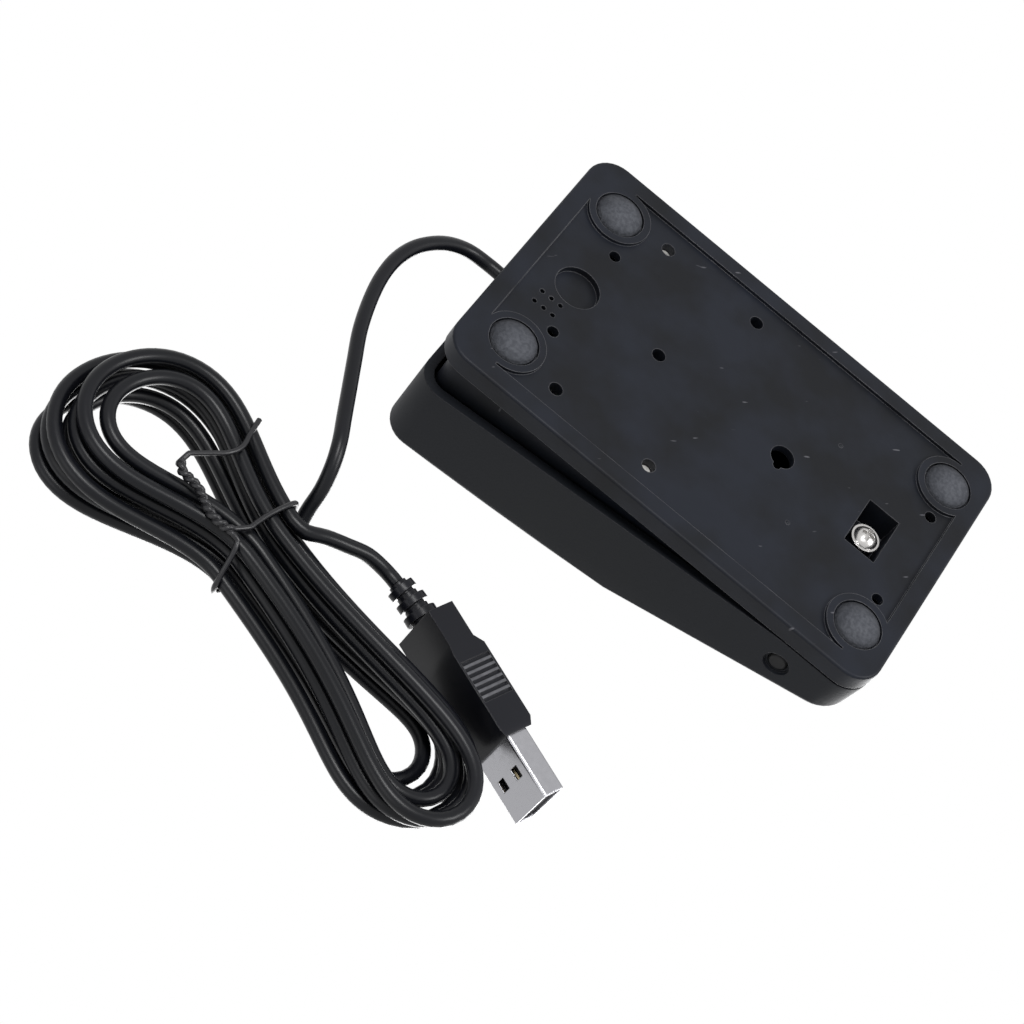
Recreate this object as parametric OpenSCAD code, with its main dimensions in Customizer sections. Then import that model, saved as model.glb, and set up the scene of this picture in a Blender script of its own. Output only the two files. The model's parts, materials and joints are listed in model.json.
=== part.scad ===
/* [Base] */
// Length of the base and of the pedal above it, front to back
base_len = 100; // [92:1:112]
// Width of the base and of the pedal above it
base_w = 64; // [60:1:76]
// Radius of the upright corners
corner_r = 6; // [4:0.5:8]
// Height of the base's outer wall, from its rim up
base_wall_h = 4.2; // [3.8:0.1:5]
// Radius of the base's lower outer edge
base_edge_r = 0.6; // [0.4:0.1:1.2]
// Thickness of the base's outer wall
base_wall = 2; // [1.4:0.1:2.6]
// Width of the rim round the underside panel
rim_w = 3.8; // [3:0.1:5]
// Depth of the underside panel behind the rim
panel_recess = 0.8; // [0.4:0.1:1.2]
// Thickness of the base's floor
floor_t = 1.8; // [1.4:0.1:2.2]
// Thickness of the inner skirt that closes the gap under the pedal
skirt_t = 1.4; // [1:0.1:1.4]
// Gap between the inner skirt and the pedal's skirt
skirt_gap = 0.8; // [0.6:0.1:1]
// Height of the inner skirt above the pedal's lip
skirt_lap = 1.6; // [0.8:0.1:2.4]
// Diameter of the moulded core holes in the underside
core_hole_d = 2.4; // [2:0.1:3.6]
// Diameter of the round recess under the spring seat
core_recess_d = 9.3; // [6:0.1:11]

/* [Feet] */
// Diameter of a rubber foot
foot_d = 9.4; // [8:0.2:11]
// Diameter of the flat middle of a foot
foot_flat_d = 2.4; // [1:0.2:6]
// Height of a foot below the rim
foot_proud = 0.8; // [0.5:0.1:1.5]
// Depth of a foot's pocket above the rim
foot_pocket = 1; // [0.6:0.1:1.4]
// Play between a foot and its pocket, across
foot_play = 0.8; // [0.2:0.1:1]
// Wall of the boss round a foot
foot_boss_wall = 1.5; // [1:0.1:2]
// Distance of a foot's centre from the side edge
foot_inset_x = 10.8; // [9:0.1:13]
// Distance of a rear foot's centre from the rear edge
foot_inset_rear = 10.2; // [9:0.1:13]
// Distance of a front foot's centre from the front edge
foot_inset_front = 8.2; // [7.6:0.1:11]

/* [Pedal] */
// Height of the pedal's top at the front edge, above the ground
pedal_front_h = 13.4; // [12.6:0.1:15]
// Height of the pedal's top at the bend, above the ground
pedal_bend_h = 27; // [26:0.1:29]
// Height of the pedal's top at the rear edge, above the ground
pedal_rear_h = 32; // [31:0.1:34]
// Distance of the bend from the rear edge
pedal_bend_inset = 52; // [46:1:58]
// Rise of the rear tread over a straight line
pedal_crown = 0.5; // [0.2:0.1:0.8]
// Thickness of the pedal's top
pedal_top_t = 2.1; // [1.6:0.1:2.4]
// Thickness of the pedal's skirt
pedal_wall = 2; // [1.5:0.1:2.6]
// Radius of the pedal's upper edges
pedal_edge_r = 1.5; // [0.8:0.1:2]
// Gap between the pedal's front lip and the base
lip_gap = 0.5; // [0.4:0.1:0.8]
// Angle that the pedal can be pressed by
press_deg = 6; // [4:0.5:6]
// Number of grip bars on the tread
grip_count = 9; // [5:1:9]
// Spacing of the grip bars
grip_pitch = 4.4; // [3.6:0.1:4.8]
// Length of a grip bar
grip_len = 46; // [30:1:50]
// Width of a grip bar
grip_w = 1.8; // [1.2:0.1:2.4]
// Height of a grip bar above the tread
grip_h = 0.6; // [0.4:0.1:0.8]
// Thickness of the stiffening ribs under the tread
rib_t = 1.4; // [1:0.1:2]
// Height of the stiffening ribs under the tread
rib_h = 4; // [2:0.1:5]

/* [Hinge] */
// Distance of the axle from the front edge
hinge_inset = 15.1; // [14:0.1:17]
// Height of the axle above the ground
hinge_h = 11.5; // [11:0.1:12.5]
// Diameter of the axle
axle_d = 4; // [3:0.1:4.4]
// Radial running clearance of the pedal on the axle
axle_run = 0.1; // [0.05:0.01:0.15]
// Radial clearance of the axle in the base
axle_seat = 0.05; // [0.02:0.01:0.1]
// Diameter of the shallow recess round the axle's end
axle_recess_d = 5.4; // [4.8:0.1:6.4]
// Distance of the axle's end from the pedal's side face
axle_end_inset = 0.5; // [0.3:0.1:1]
// Wall round the axle in the base's ears
ear_wall = 1.6; // [1.2:0.1:1.8]
// Thickness of an ear
ear_t = 4; // [3:0.1:5]
// Diameter of the lock screw's head
lock_head_d = 6; // [5.4:0.1:6.2]
// Height of the lock screw's head
lock_head_h = 2; // [1.6:0.1:2.4]
// Diameter of the lock screw's shank
lock_d = 3; // [2.4:0.1:3.4]
// Width of the window over the lock screw
window_w = 12; // [11:0.1:13]
// Length of the window over the lock screw
window_len = 7.1; // [6.6:0.1:8]
// Depth of the lock screw's head behind the panel
lock_depth = 0.3; // [0.2:0.1:1]
// Offset of the lock screw from the middle, across
lock_x = 0.8; // [0:0.1:1.2]
// Offset of the lock screw and its window behind the axle's centre
lock_shift = 0.4; // [0:0.1:0.6]

/* [Spring] */
// Distance of the return spring from the rear edge
spring_inset = 12.85; // [12:0.1:14]
// Outer diameter of the return spring
spring_d = 8.6; // [7.6:0.1:9.4]
// Diameter of the return spring's wire
spring_wire = 1; // [0.7:0.1:1.2]
// Number of turns of the return spring
spring_turns = 9; // [6:1:9]
// Height of the spring's seat above the floor
spring_seat_h = 2; // [1:0.1:3]
// Height of the pedal's spring pad under the tread
spring_pad_h = 2.4; // [1.5:0.1:4]

/* [Board] */
// Length of the circuit board
board_len = 38; // [36:0.5:40]
// Gap between the circuit board and the inner skirt, each side
board_gap = 1.4; // [1:0.1:2]
// Thickness of the circuit board
board_t = 1.6; // [1:0.1:2]
// Height of the board's posts above the floor
post_h = 2.2; // [1.8:0.1:3]
// Spacing of the posts along the board
post_pitch = 11; // [10:0.1:12]
// Diameter of a post
post_d = 6; // [5:0.1:7]
// Diameter of the screw holes in the posts
post_bore_d = 2.8; // [2.4:0.1:3.2]
// Diameter of a board screw's head
screw_head_d = 5; // [4:0.1:6]
// Height of a board screw's head
screw_head_h = 1.8; // [1.2:0.1:2.2]

/* [Switch] */
// Distance of the switch from the hinge axis
switch_reach = 38; // [37:0.5:39]
// Width of the switch's lower half
switch_w = 14; // [13:0.1:15]
// Height of the switch's lower half
switch_low_h = 5; // [4.5:0.1:5.5]
// Height of the switch's upper half
switch_up_h = 6.6; // [6.2:0.1:7]
// Height of the stem above the switch
stem_proud = 4.6; // [4.4:0.1:5]
// Width of the stem's slider
stem_w = 6.8; // [6:0.1:7.2]
// Depth of the stem's slider
stem_deep = 5.2; // [5:0.1:5.8]
// Play between the stem and the switch, all round
stem_play = 0.3; // [0.2:0.05:0.5]
// Gap between the pedal's pusher and the stem
pusher_gap = 0.3; // [0.2:0.05:0.6]

/* [Cable] */
// Diameter of the lead
cord_d = 2.8; // [2.4:0.1:3.2]
// Distance of the cable outlet from the middle
cable_x = 6.4; // [6:0.1:8]
// Height of the cable outlet above the ground
cable_h = 5.4; // [5.2:0.1:6]
// Wall of the cable bush
bush_wall = 0.7; // [0.5:0.05:1]
// Play of the lead in the bush, all round
bush_play = 0.1; // [0.05:0.05:0.2]

/* [Plug] */
// Length of the plug's moulded grip
grip_body_len = 24; // [20:0.5:28]
// Thickness of the plug's moulded grip
grip_body_t = 7; // [6.4:0.1:8.5]
// Width of the plug's moulded grip
grip_body_w = 14; // [13.4:0.1:16]
// Length of the sloping nose in front of the grip
nose_len = 1.5; // [1:0.1:2]
// Length of the metal shell that shows
shell_len = 12; // [11:0.1:13]
// Width of the metal shell
shell_w = 12; // [11.8:0.1:12.2]
// Thickness of the metal shell
shell_h = 4.5; // [4.4:0.05:4.6]
// Sheet thickness of the metal shell
shell_t = 0.35; // [0.3:0.05:0.4]
// Length of the ribbed strain relief
relief_len = 8.4; // [6:0.1:10]
// Angle that the strain relief is bent by
relief_bend = 10; // [0:1:30]

/* [Hidden] */
$fn = 48;
// Small overlap that keeps cuts clean
eps = 0.02;

// Places of the base, from its edges
side_x = base_w / 2;
rear_y = base_len / 2;
front_y = -base_len / 2;
rim_z = foot_proud;
panel_z = rim_z + panel_recess;
floor_z = panel_z + floor_t;
wall_top = rim_z + base_wall_h;
foot_x = side_x - foot_inset_x;
foot_rear_y = rear_y - foot_inset_rear;
foot_front_y = front_y + foot_inset_front;
pocket_d = foot_d + foot_play;
boss_d = pocket_d + 2 * foot_boss_wall;

// Places of the hinge and of the lock screw
hinge_y = front_y + hinge_inset;
ear_r = axle_d / 2 + axle_seat + ear_wall;
ear_x = side_x - pedal_wall - 6;
boss_len = 2.5;
hinge_boss_r = 4.5;
block_wall = 2.5;
block_w = window_w + 2 * block_wall;
block_len = window_len + 2 * block_wall;
window_y = hinge_y + lock_shift;
lock_seat_z = panel_z + lock_depth + lock_head_h;
lock_tip_gap = 0.05;
lock_play = 0.1;
lock_dome_d = lock_head_d - 1;
lock_flange_t = 0.6;
pocket_roof = 1.2;
pocket_top = hinge_h - axle_d / 2 - axle_seat - pocket_roof;
lock_post_d = lock_head_d - 0.4;
block_trunk_z = pocket_top + pocket_roof;
axle_len = base_w - 2 * axle_end_inset;
axle_chamfer = 0.4;

// Places of the pedal: the lip is level in front of the hinge and slants up behind it
lip_z = wall_top + lip_gap;
lip_slope = press_deg + 0.2;
kink_y = hinge_y + 2.9;
bend_y = rear_y - pedal_bend_inset;
front_deg = atan((pedal_bend_h - pedal_front_h) / (bend_y - front_y));
function rear_share(y) = (y - bend_y) / (rear_y - bend_y);
function top_z(y) =
    y < bend_y
    ? pedal_front_h + (y - front_y) * tan(front_deg)
    : pedal_bend_h + (pedal_rear_h - pedal_bend_h) * rear_share(y)
      + 4 * pedal_crown * rear_share(y) * (1 - rear_share(y));
function top_deg(y) = atan((top_z(y + 0.5) - top_z(y - 0.5)));
function ceiling_z(y) = top_z(y) - pedal_top_t;
function lip_line(y) = lip_z + max(0, y - kink_y) * tan(lip_slope);
tread_stations = [for (k = [0:3]) bend_y + k * (rear_y - bend_y) / 4];
first_grip_y = bend_y + (rear_y - bend_y - (grip_count - 1) * grip_pitch) / 2;
cap_overhang = pedal_edge_r * sin(top_deg(rear_y - corner_r));
rib_x = 13;

// Places of the inner skirt
skirt_w = base_w - 2 * (pedal_wall + skirt_gap);
skirt_len = base_len - 2 * (pedal_wall + skirt_gap);
skirt_r = corner_r - pedal_wall - skirt_gap;
skirt_front = hinge_y + hinge_boss_r + 2.5;

// Places of the spring: its seat is on the base, its pad under the tread
spring_y = rear_y - spring_inset;
spring_seat_z = floor_z + spring_seat_h;
spring_pad_r = spring_d / 2 + 2;
spring_pad_z = ceiling_z(spring_y - spring_pad_r) - spring_pad_h;
spring_gap = 0.2;
peg_r = spring_d / 2 - spring_wire - 0.4;
peg_h = 3;

// Places of the board and of what stands on it
board_z = floor_z + post_h;
board_top = board_z + board_t;
board_w = skirt_w - 2 * skirt_t - 2 * board_gap;
board_spring_gap = 1.35;
board_rear = spring_y - spring_d / 2 - board_spring_gap;
board_mid_y = board_rear - board_len / 2;
post_edge = [3.4, 3.1];
post_x = board_w / 2 - post_edge[0];
post_rear_y = board_rear - post_edge[1];
post_mid_y = post_rear_y - post_pitch;
post_front_y = post_mid_y - post_pitch;
post_places = [
    [-post_x, post_rear_y], [post_x, post_rear_y], [0, post_mid_y],
    [-post_x, post_front_y], [post_x, post_front_y]
];
screw_places = [post_places[0], post_places[4]];
screw_play = 0.2;
screw_tip_inset = 2;
screw_d = post_bore_d - screw_play;
board_hole_d = screw_d + 3 * screw_play;
chip_place = [-15, post_mid_y + 3];
crystal_place = [-15, post_mid_y - 5];
cap_place = [14, post_mid_y - 3.5];
cap_d = 5;
cap_h = 7;
header_place = [16.5, post_rear_y - 0.8];
header_size = [12.4, 5.8, 5];

// Places of the switch
switch_y = hinge_y + switch_reach;
switch_flange_w = switch_w + 1.6;
switch_flange_h = 1;
switch_mid_z = board_top + switch_low_h;
switch_top_z = switch_mid_z + switch_up_h;
stem_top_z = switch_top_z + stem_proud;
stem_bottom_z = switch_mid_z + 0.8;
stem_shoulder_z = switch_top_z + 0.4;
well_w = 8;
well_z = board_top + 1.2;
stem_bore_d = 4.2;
stem_bore_h = 4;
stem_spring_d = stem_bore_d - 0.6;
stem_spring_wire = 0.4;
stem_spring_turns = 6;
stem_spring_gap = 0.1;
pusher_z = stem_top_z + pusher_gap;
pusher_r = 4;
pusher_dome_r = 14;
pin_x = 3.2;
pin_d = 1.2;
pin_len = board_t + 0.8;
locator_d = 4;

// Places of the cable outlet
bush_d = cord_d + 2 * bush_play + 2 * bush_wall;
bush_flange_d = bush_d + 2;
bush_flange_t = 1;
bush_seat = 0.05;
tab_y = rear_y - base_wall - 2.4;
tab_t = 2;
tab_w = bush_d + 4.6;
tab_h = cable_h + bush_d / 2 + 1.6;
cable_notch_w = bush_d + 0.2;
pedal_notch_w = bush_d + 1.4;
press_drop = (rear_y - hinge_y) * sin(press_deg);
pedal_notch_z = cable_h + bush_d / 2 + press_drop + 0.6;

// Underside holes, from the middle and from the edges
core_x = 12.5;
core_rear_inset = 14.5;
core_front_inset = 7.6;
core_ys = [rear_y - core_rear_inset, front_y + core_front_inset];
big_hole_d = 5;
big_hole_reach = 22.2;
big_hole_y = hinge_y + big_hole_reach;
pip_x = 12;
pip_reach = 14.4;
pip_d = 1.2;
pip_sunk = 0.35;
vent_d = 1;
vent_x = 6.3;
vent_pitch = [3.1, 2.15];
vent_inset = 8.2;

// Route of the lead from the bush to the hank, and of its stretch inside the base
lead_route = [
    [6.4, 50, 5.4], [6.4, 53, 5.4], [7.6, 56.9, 4.5], [10.5, 60.3, 3.1], [14.2, 62.9, 2], [18.5, 64.9, 1.5],
    [23.5, 65.9, 1.4], [29, 65.7, 1.4], [35.2, 64.4, 1.4], [42, 62.2, 1.4], [48.4, 59.3, 1.4],
    [54.7, 56.4, 1.4], [59.7, 54.1, 1.4], [64.4, 51.9, 1.5], [68.1, 50.2, 3.2], [71.5, 49, 6.2],
    [74.9, 48.5, 9.6], [78.4, 47.4, 12.2], [81.8, 45.2, 13.6]
];
inner_route = [
    [0, 0, 0], [0, -4, 0], [0.2, -7, 0], [1.4, -10.4, 0.2], [3.8, -13.3, 0.9], [6.8, -15.6, 2.3]
];

// Hank of the lead: seven loops drawn in at the waist, wound in four layers from the plug's end at the floor
// to the pedal's end on top. Each lobe has a length, a swell, a sideways lean and a reach, which drift from
// layer to layer, and the first loop has its own
hank_middle = [89.8, 49.3];
hank_turn = 17.2;
hank_loops = 7;
hank_up = 32.1;
hank_down = 51.5;
hank_waist = 0.2;
hank_inner = 1;
hank_step = 3.7;
hank_layer = 3.5;
hank_lift = 1.9;
hank_rings = 24;
hank_sides = 6;
hank_from = 2.262;
hank_to = 9.215;
first_loop = [18.6, -5, 0.5];
up_loop = [18.4, -4.9, -0.1];
up_drift = [1.6, -1.9, 1.1];
up_bulge = 2.1;
down_loop = [8.3, -2.9, -2.9];
down_drift = [-0.5, 1.2, -3.1];
down_bulge = 3.5;

// Tie: once round the waist, as places along, across and up, and then the route of its loose end
tie_d = 1.4;
tie_ring = [
    [3.9, -2.6, 0.75], [4.3, 2, 0.75], [4.2, 6.6, 0.75], [4, 9.2, 1.9], [3.8, 9.8, 4.6], [3.4, 9.6, 8.5],
    [3, 9.5, 12.6], [2.6, 8.7, 15.1], [2.2, 6.4, 16.3], [1.2, 0.6, 16.4], [0.4, -4.6, 16.4],
    [0, -7.4, 15.3], [-0.4, -9.8, 12], [-0.4, -11.4, 8.6], [0.4, -10, 5.2], [1.8, -8, 2.2], [3, -6.6, 0.9]
];
tie_route = [
    [94.2, 55.6, 0.75], [94.6, 57.8, 0.75], [94.3, 60.1, 0.75], [93.4, 62, 0.75], [92.1, 64.1, 0.75],
    [91.5, 66.2, 0.75], [91.3, 68.4, 0.75], [89.8, 70, 0.75], [87.6, 69.7, 0.75], [85, 67.3, 0.75],
    [82.3, 64.9, 0.75], [79.4, 63.8, 0.75], [76, 64.3, 0.75], [72.6, 64.7, 0.75]
];

// Plug: it stands on its narrow side, turned about the upright
plug_place = [79, 20.5];
plug_turn = 203;
plug_z = grip_body_w / 2;
tail_route = [[80.9, 43, 3.6], [78.7, 39.2, 4.5], [76.6, 35.4, 5.6]];
shoulder_y = 7;
shoulder_len = 2;
shoulder_step = 0.8;
flank_step = 0.6;
nose_wall = 0.6;
plug_front = grip_body_len + nose_len;
grip_bar_count = 6;
grip_bar_pitch = 1.2;
grip_bar_w = 0.5;
grip_bar_from = 11.8;
grip_bar_deep = 0.4;
grip_bar_edge = 0.4;
shell_sunk = 3;
shell_r = 0.6;
shell_hole_w = 2.2;
shell_hole_y = 5.6;
shell_hole_x = 2.6;
tongue_t = 1.8;
tongue_inset = 0.6;
contact_w = 1;
contact_t = 0.15;
contact_len = 8;
contact_inset = 1.6;
contact_x = [-3.5, -1, 1, 3.5];

// Plain geometry used by several pieces
function unit(v) = v / norm(v);
function lerp(a, b, s) = a + (b - a) * s;
function smooth_step(s) = let (k = min(1, max(0, s))) k * k * (3 - 2 * k);

// Rounded rectangle of true arcs
module rounded(w, l, r) {
    square([w - 2 * r, l], center = true);
    square([w, l - 2 * r], center = true);
    for (x = [-1, 1], y = [-1, 1])
        translate([x * (w / 2 - r), y * (l / 2 - r)])
            circle(r);
}

// Prism of an outline drawn in the upright plane along the length, as wide as given
module side_prism(outline, w) {
    rotate([90, 0, 90])
        linear_extrude(w, center = true)
            polygon(outline);
}

// Upright bore or pin
module upright(place, z, d, h) {
    translate([place[0], place[1], z])
        cylinder(d = d, h = h);
}

// Tube swept along points; each ring's frame is carried on from the one before it
function tangent(pts, i) =
    unit(pts[min(i + 1, len(pts) - 1)] - pts[max(i - 1, 0)]);
function square_to(v, t) = unit(v - (v * t) * t);
function carried(pts, ref) =
    [for (i = 0, n = square_to(ref, tangent(pts, 0)); i < len(pts);
        i = i + 1, n = square_to(n, tangent(pts, min(i, len(pts) - 1)))) n];
function tube_ring(p, t, n, r, sides) =
    let (s = cross(t, n))
    [for (k = [0:sides - 1]) p + r * (cos(360 * k / sides) * s + sin(360 * k / sides) * n)];
function tube_faces(rings, sides) =
    [for (i = [0:rings - 2], k = [0:sides - 1], half = [0, 1])
        let (a = i * sides, b = (i + 1) * sides, m = (k + 1) % sides)
        half == 0 ? [a + k, b + k, b + m] : [a + k, b + m, a + m]];
function fan(from, sides, flip) =
    [for (k = [1:sides - 2]) flip ? [from, from + k + 1, from + k] : [from, from + k, from + k + 1]];
module tube(pts, d, sides, ref = [0, 0, 1]) {
    rings = len(pts);
    normals = carried(pts, ref);
    points = [for (i = [0:rings - 1]) each tube_ring(pts[i], tangent(pts, i), normals[i], d / 2, sides)];
    ends = concat(fan(0, sides, false), fan((rings - 1) * sides, sides, true));
    polyhedron(points, concat(tube_faces(rings, sides), ends));
}

// Coil spring with one closed turn at each end, its lowest and highest points at the given heights
module coil(d, wire, turns, z0, z1) {
    rings_per_turn = 8;
    sides = 6;
    rise = z1 - z0 - wire * cos(180 / sides) - 2 * wire;
    function coil_z(t) =
        t < 1 ? wire * t : t > turns - 1 ? rise + wire + wire * (t - turns + 1)
        : wire + rise * (t - 1) / (turns - 2);
    tube([for (i = [0:turns * rings_per_turn])
        let (t = i / rings_per_turn)
        [(d - wire) / 2 * cos(360 * t), (d - wire) / 2 * sin(360 * t),
            z0 + wire * cos(180 / sides) / 2 + coil_z(t)]], wire, sides);
}

// Pan-head screw with a cross recess, head down at the origin, shank up
module pan_screw(head_d, head_h, d, shank) {
    slot_w = head_d / 6;
    slot_l = head_d * 0.55;
    slot_deep = head_h * 0.5;
    rim_h = head_h * 0.35;
    difference() {
        union() {
            intersection() {
                cylinder(d = head_d, h = head_h);
                translate([0, 0, head_h - rim_h])
                    rotate_extrude()
                        intersection() {
                            translate([0, dome_shift(head_d, head_h - rim_h)])
                                circle(dome_shift(head_d, head_h - rim_h) + head_h - rim_h, $fn = 96);
                            translate([0, -head_h])
                                square([head_d, 2 * head_h]);
                        }
            }
            translate([0, 0, head_h - eps])
                cylinder(d = d, h = shank + eps);
        }
        for (a = [0, 90])
            rotate(a)
                translate([-slot_l / 2, -slot_w / 2, -eps])
                    cube([slot_l, slot_w, slot_deep]);
    }
}
// Height of a dome's centre above its rim, for a dome of the given width and rise
function dome_shift(w, rise) = (w * w / 4 - rise * rise) / (2 * rise);

// Base
module ear_outline() {
    translate([hinge_y, hinge_h])
        circle(ear_r);
    translate([hinge_y - ear_r, floor_z - eps])
        square([2 * ear_r, hinge_h - floor_z + eps]);
}
module hinge_ears() {
    for (x = [-1, 1])
        translate([x * ear_x - ear_t / 2, 0, 0])
            rotate([90, 0, 90])
                linear_extrude(ear_t)
                    ear_outline();
}
module hinge_block() {
    translate([-block_w / 2, 0, 0])
        rotate([90, 0, 90])
            linear_extrude(block_w) {
                ear_outline();
                translate([window_y - block_len / 2, floor_z - eps])
                    square([block_len, block_trunk_z - floor_z + eps]);
            }
}
module inner_skirt() {
    intersection() {
        linear_extrude(pedal_rear_h)
            difference() {
                rounded(skirt_w, skirt_len, skirt_r);
                rounded(skirt_w - 2 * skirt_t, skirt_len - 2 * skirt_t, skirt_r - skirt_t);
            }
        side_prism([
            [skirt_front, floor_z - eps], [rear_y, floor_z - eps],
            [rear_y, lip_line(rear_y) + skirt_lap], [skirt_front, lip_line(skirt_front) + skirt_lap]
        ], base_w);
    }
}
module foot_bosses() {
    for (x = [-1, 1], y = [foot_rear_y, foot_front_y])
        translate([x * foot_x, y]) {
            circle(d = boss_d);
            translate([x > 0 ? 0 : -side_x, y > 0 ? 0 : -rear_y])
                square([side_x, rear_y]);
        }
}
module foot_boss_circles() {
    intersection() {
        foot_bosses();
        union() {
            for (x = [-1, 1], y = [foot_rear_y, foot_front_y])
                translate([x * foot_x, y])
                    circle(d = boss_d);
            difference() {
                square([base_w, base_len], center = true);
                square([2 * foot_x, foot_rear_y - foot_front_y], center = true);
                square([2 * foot_x, base_len], center = true);
                translate([-side_x, foot_front_y])
                    square([base_w, foot_rear_y - foot_front_y]);
            }
        }
    }
}
module tray_outside() {
    hull()
        for (x = [-1, 1], y = [-1, 1])
            translate([x * (side_x - corner_r), y * (rear_y - corner_r), rim_z])
                rotate_extrude($fn = 32) {
                    square([corner_r - base_edge_r, base_wall_h]);
                    translate([0, base_edge_r])
                        square([corner_r, base_wall_h - base_edge_r]);
                    translate([corner_r - base_edge_r, base_edge_r])
                        circle(base_edge_r, $fn = 24);
                }
}
module tray_body() {
    difference() {
        tray_outside();
        translate([0, 0, floor_z])
            linear_extrude(base_wall_h)
                rounded(base_w - 2 * base_wall, base_len - 2 * base_wall, corner_r - base_wall);
    }
    for (p = post_places)
        upright(p, floor_z - eps, post_d, post_h + eps);
    upright([0, spring_y], floor_z - eps, 2 * spring_pad_r, spring_seat_h + eps);
    upright([0, spring_y], floor_z, 2 * peg_r, spring_seat_h + peg_h);
    hinge_ears();
    hinge_block();
    inner_skirt();
    translate([cable_x - tab_w / 2, tab_y - tab_t / 2, floor_z - eps])
        cube([tab_w, tab_t, tab_h - floor_z + eps]);
}
module tray_cuts() {
    translate([0, 0, rim_z - eps])
        linear_extrude(panel_recess + eps)
            difference() {
                square([base_w - 2 * rim_w, base_len - 2 * rim_w], center = true);
                foot_boss_circles();
            }
    for (x = [-1, 1], y = [foot_rear_y, foot_front_y])
        upright([x * foot_x, y], rim_z - eps, pocket_d, foot_pocket + eps);
    for (x = [-core_x, core_x], y = core_ys)
        upright([x, y], panel_z - eps, core_hole_d, floor_t + 2 * eps);
    for (p = post_places)
        upright(p, panel_z - eps, post_bore_d, floor_t + post_h + 2 * eps);
    for (i = [0, 1], k = [0:2])
        upright([vent_x + i * vent_pitch[0], rear_y - vent_inset - k * vent_pitch[1]], panel_z - eps,
            vent_d, floor_t + 2 * eps);
    upright([0, spring_y], panel_z - eps, core_recess_d, floor_t * 0.8);
    upright([0, big_hole_y], panel_z - eps, big_hole_d, floor_t + 2 * eps);
    upright([big_hole_d / 2, big_hole_y], panel_z - eps, big_hole_d / 3, floor_t + 2 * eps);
    difference() {
        translate([-window_w / 2, window_y - window_len / 2, panel_z - eps])
            cube([window_w, window_len, pocket_top - panel_z + eps]);
        upright([lock_x, window_y], lock_seat_z, lock_post_d, pocket_top - lock_seat_z + eps);
    }
    upright([lock_x, window_y], lock_seat_z - eps, lock_d + 2 * lock_play, hinge_h - lock_seat_z);
    translate([0, hinge_y, hinge_h])
        rotate([0, 90, 0])
            cylinder(r = axle_d / 2 + axle_seat, h = base_w, center = true);
    translate([cable_x, rear_y + 1, cable_h])
        rotate([90, 0, 0])
            cylinder(d = cable_notch_w, h = base_wall + tab_t + 6);
    translate([cable_x - cable_notch_w / 2, rear_y - base_wall - eps, cable_h])
        cube([cable_notch_w, base_wall + 1, base_wall_h]);
}
module base_tray() {
    color("#2b2c30") {
        difference() {
            tray_body();
            tray_cuts();
        }
        for (x = [-pip_x, pip_x])
            translate([x, hinge_y + pip_reach, panel_z + pip_sunk])
                sphere(d = pip_d);
    }
}

// Rubber foot: a low button with a domed face, flat in the middle
module foot(x, y) {
    dome_w = (foot_d - foot_flat_d) / 2;
    dome_r = (dome_w * dome_w + foot_proud * foot_proud) / (2 * foot_proud);
    color("#55565a")
        translate([x, y, 0])
            rotate_extrude() {
                translate([0, foot_proud])
                    square([foot_d / 2, foot_pocket]);
                square([foot_flat_d / 2, foot_proud]);
                intersection() {
                    translate([foot_flat_d / 2, dome_r])
                        circle(dome_r, $fn = 96);
                    square([foot_d / 2, foot_proud]);
                }
            }
}

// Hinge axle and its lock screw
module hinge_axle() {
    color("#3a3a3d")
        translate([0, hinge_y, hinge_h])
            rotate([0, 90, 0])
                rotate_extrude()
                    polygon([
                        [0, -axle_len / 2], [axle_d / 2 - axle_chamfer, -axle_len / 2],
                        [axle_d / 2, -axle_len / 2 + axle_chamfer], [axle_d / 2, axle_len / 2 - axle_chamfer],
                        [axle_d / 2 - axle_chamfer, axle_len / 2], [0, axle_len / 2]
                    ]);
}
module axle_lock_screw() {
    color("silver")
        translate([lock_x, window_y, lock_seat_z - lock_head_h]) {
            pan_screw(lock_dome_d, lock_head_h, lock_d,
                hinge_h - axle_d / 2 - lock_tip_gap - lock_seat_z);
            upright([0, 0], lock_head_h - lock_flange_t, lock_head_d, lock_flange_t);
        }
}

// Circuit board and what stands on it
module circuit_board() {
    color("#1f5a38")
        difference() {
            translate([-board_w / 2, board_mid_y - board_len / 2, board_z])
                cube([board_w, board_len, board_t]);
            for (p = post_places)
                upright(p, board_z - eps, board_hole_d, board_t + 2 * eps);
            for (x = [-1, 1])
                upright([x * pin_x, switch_y + pin_x], board_z - eps, pin_d + 0.3, board_t + 2 * eps);
            upright([0, switch_y], board_z - eps, locator_d + 0.3, board_t + 2 * eps);
        }
}
module board_screws() {
    shank = board_top - panel_z - screw_tip_inset;
    color("silver")
        for (p = screw_places)
            translate([p[0], p[1], board_top + screw_head_h])
                mirror([0, 0, 1])
                    pan_screw(screw_head_d, screw_head_h, screw_d, shank);
}
module controller_chip() {
    body = [10, 3.9, 1.4];
    lift = 0.15;
    leg = [0.4, 1.05, 0.75];
    leg_pitch = 1.27;
    color("#18181a")
        translate([chip_place[0], chip_place[1], board_top]) {
            translate([-body[0] / 2, -body[1] / 2, lift])
                cube(body);
            for (side = [-1, 1], k = [0:6])
                translate([(k - 3) * leg_pitch - leg[0] / 2, side * (body[1] + leg[1]) / 2 - leg[1] / 2, 0])
                    cube(leg);
        }
}
module crystal() {
    can_w = 4.6;
    can_len = 11;
    can_h = 3.5;
    color("silver")
        translate([crystal_place[0], crystal_place[1], board_top])
            linear_extrude(can_h) {
                square([can_len - can_w, can_w], center = true);
                for (x = [-1, 1])
                    translate([x * (can_len - can_w) / 2, 0])
                        circle(d = can_w);
            }
}
module capacitor() {
    color("#20242c")
        upright(cap_place, board_top, cap_d, cap_h);
}
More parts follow.
